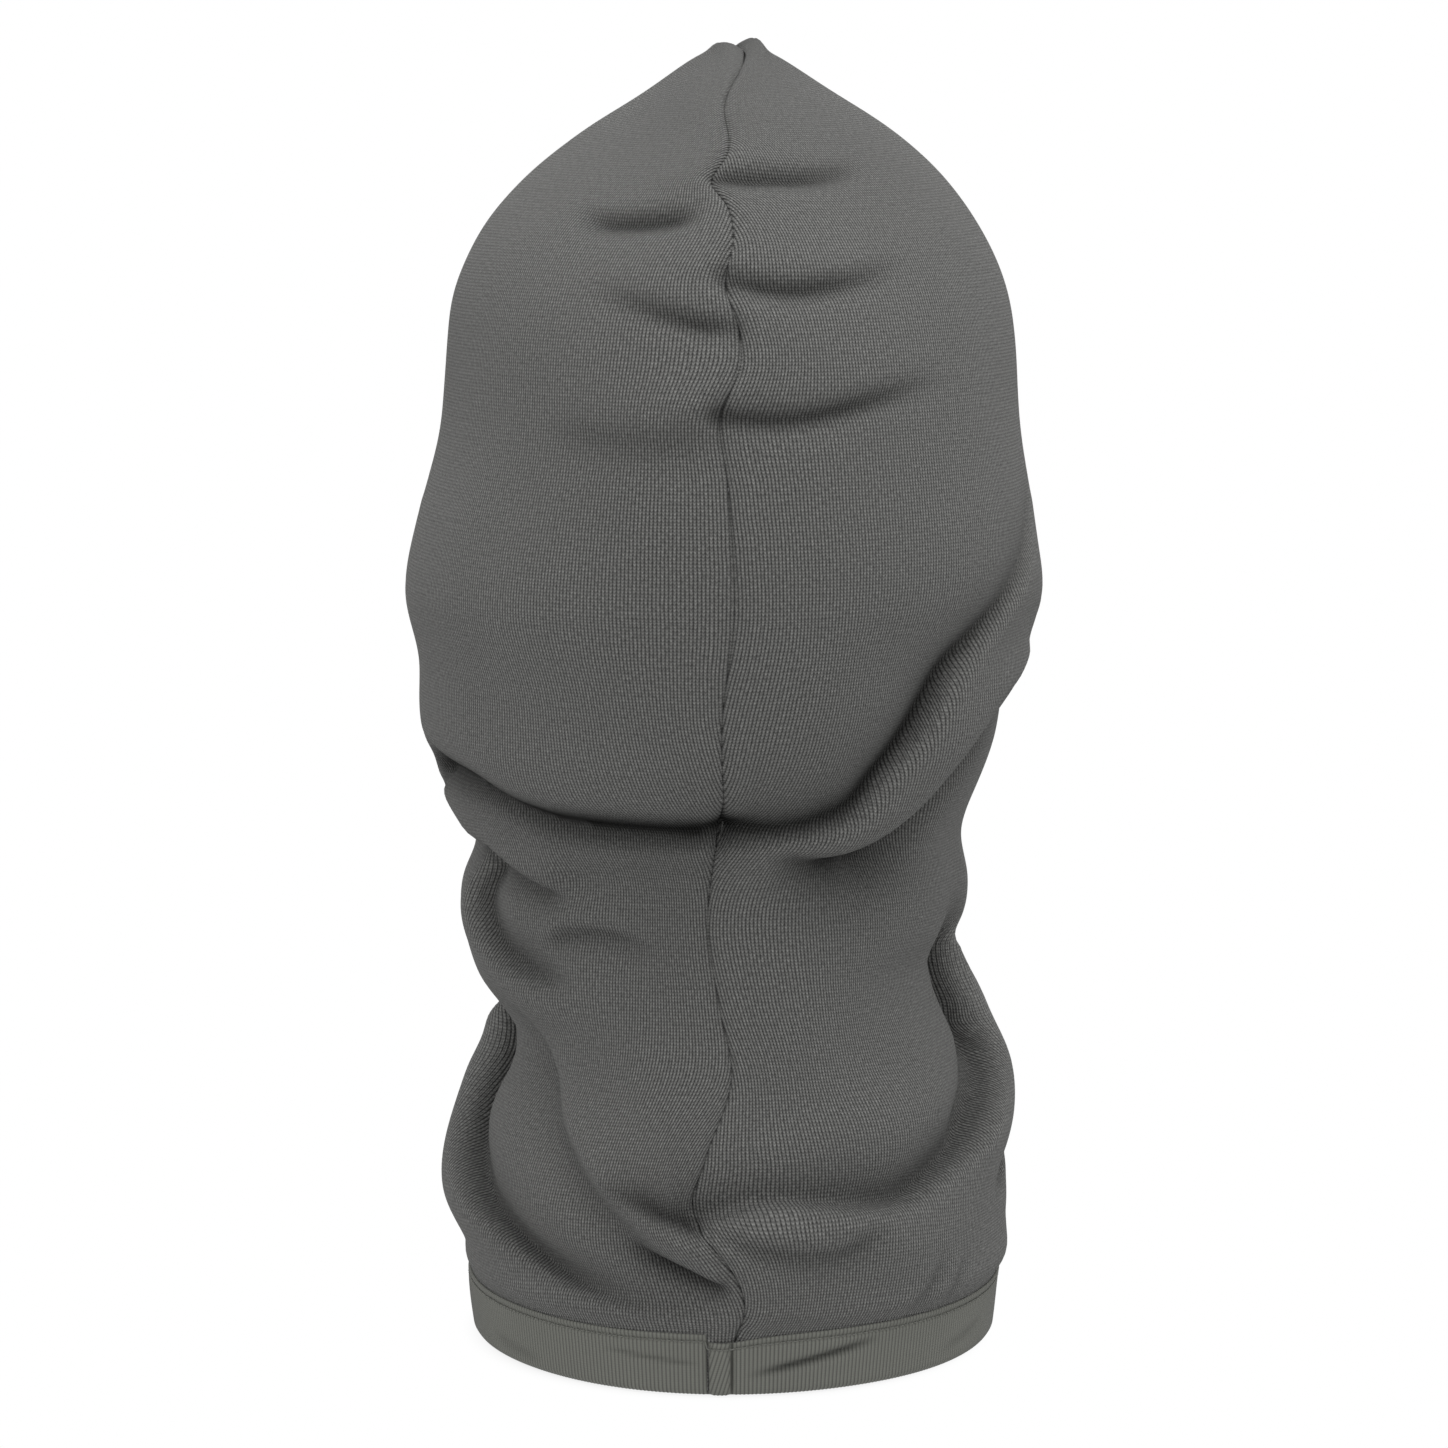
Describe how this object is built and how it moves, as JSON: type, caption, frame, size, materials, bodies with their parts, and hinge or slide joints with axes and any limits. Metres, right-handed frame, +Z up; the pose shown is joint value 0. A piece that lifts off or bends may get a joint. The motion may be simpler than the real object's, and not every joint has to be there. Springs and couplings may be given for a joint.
{
  "type": "balaclava",
  "caption": "Knitted fleece hood with a bound face opening and a neck skirt, made of two side panels joined by one seam; keeps head, face and neck warm.",
  "frame": {"origin": "middle of the neck opening, on the level that the hem rests on", "axes": "+Z up from the hem to the crown, the wearer faces -Y, the wearer's left is +X"},
  "size_m": [0.181, 0.2067, 0.366],
  "materials": {
    "fleece": "smooth knitted face, brushed inside",
    "rib_tape": "fine rib knit",
    "thread": "spun sewing thread",
    "label_cloth": "satin woven tape, blank"
  },
  "bodies": {
    "hood": {"left_side_panel": "fleece", "right_side_panel": "fleece", "back_seam_overlock_thread": "thread", "front_seam_overlock_thread": "thread", "hem_binding": "rib_tape", "hem_binding_lap": "rib_tape", "hem_needle_thread": "thread", "hem_looper_thread": "thread", "face_binding": "rib_tape", "face_binding_lap": "rib_tape", "face_needle_thread": "thread", "face_looper_thread": "thread", "care_label_loops": "thread"},
    "label": {"care_label": "label_cloth"}
  },
  "joints": [
    {"name": "label_flip", "type": "hinge", "parent": "hood", "child": "label", "pos_m": [0, 0.05826, 0.117], "axis": [0, 0, -1], "range_deg": [0, 152]}
  ]
}
